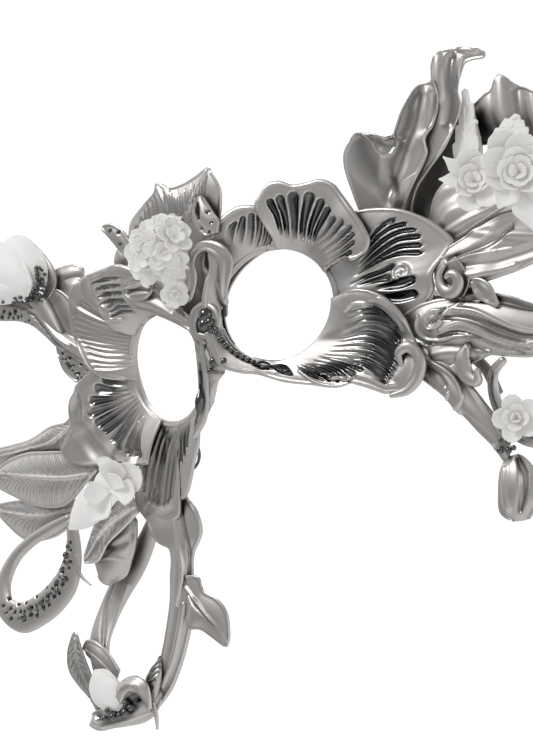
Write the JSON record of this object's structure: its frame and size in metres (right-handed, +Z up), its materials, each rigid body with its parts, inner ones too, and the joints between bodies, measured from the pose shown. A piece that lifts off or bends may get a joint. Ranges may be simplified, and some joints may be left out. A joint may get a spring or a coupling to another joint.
{
  "type": "ornamental half mask",
  "caption": "Curved half mask with open eyes, cast silver petals, scrolled leaf wings, hanging loops, white porcelain flowers and tie rings.",
  "frame": {"origin": "back of the lining at the nose bridge, level with the eye centres", "axes": "+X to the onlooker's right, +Z up the face, the decorated front faces -Y"},
  "size_m": [0.3821, 0.084, 0.247],
  "materials": {
    "satin_silver": "satin silver with brighter edges and darker hollows",
    "polished_silver": "mirror polish",
    "porcelain": "matte bisque",
    "lining_leather": "soft suede"
  },
  "bodies": {
    "mask": {"face_plate": "satin_silver", "face_lining": "lining_leather", "eye_rims": "satin_silver", "temple_lugs": "satin_silver", "lug_rivets": "polished_silver", "wing_frame": "satin_silver", "petal_right_inner": "satin_silver", "petal_right_brow": "satin_silver", "petal_right_outer": "satin_silver", "petal_right_cheek": "satin_silver", "petal_left_brow": "satin_silver", "petal_left_outer": "satin_silver", "petal_left_back": "satin_silver", "petal_left_cheek": "satin_silver", "petal_left_long": "satin_silver", "petal_left_nose": "satin_silver", "bridge_volute": "satin_silver", "bridge_beads": "polished_silver", "bridge_ribbon_loop": "satin_silver", "bridge_ribbon_leaf": "satin_silver", "bridge_strip": "satin_silver", "forehead_leaf": "satin_silver", "dotted_leaves": "satin_silver", "forehead_blossoms": "porcelain", "forehead_floret": "porcelain", "plume_front": "satin_silver", "plume_tall": "satin_silver", "plume_rear": "satin_silver", "white_leaves": "porcelain", "star_flower": "porcelain", "white_rose": "porcelain", "pale_drape": "porcelain", "drape_leaf": "satin_silver", "drape_curls": "satin_silver", "scroll_arm_upper": "satin_silver", "scroll_arm_lower": "satin_silver", "scroll_curl": "satin_silver", "right_loop": "satin_silver", "right_loop_flower": "porcelain", "right_loop_leaf": "satin_silver", "flower_bud": "porcelain", "bud_sepal": "satin_silver", "bud_arm": "satin_silver", "feather_leaf_rear": "satin_silver", "feather_leaf_upper": "satin_silver", "feather_leaf_lower": "satin_silver", "left_blossom": "porcelain", "veined_leaf": "satin_silver", "seed_pod": "satin_silver", "inner_ring": "satin_silver", "inner_ring_beads": "polished_silver", "outer_stem_left": "satin_silver", "outer_stem_right": "satin_silver", "fork_leaf": "satin_silver", "knot_cup": "satin_silver", "knot_leaves": "satin_silver", "knot_petal": "porcelain"},
    "tie_ring_right": {"tie_ring_right": "polished_silver"},
    "tie_ring_left": {"tie_ring_left": "polished_silver"}
  },
  "joints": [
    {"name": "ring_swing_right", "type": "hinge", "parent": "mask", "child": "tie_ring_right", "pos_m": [0.0828, 0.054, -0.02], "axis": [1, 0, 0], "range_deg": [-40, 110]},
    {"name": "ring_swing_left", "type": "hinge", "parent": "mask", "child": "tie_ring_left", "pos_m": [-0.0828, 0.054, -0.02], "axis": [1, 0, 0], "range_deg": [-40, 110]}
  ]
}
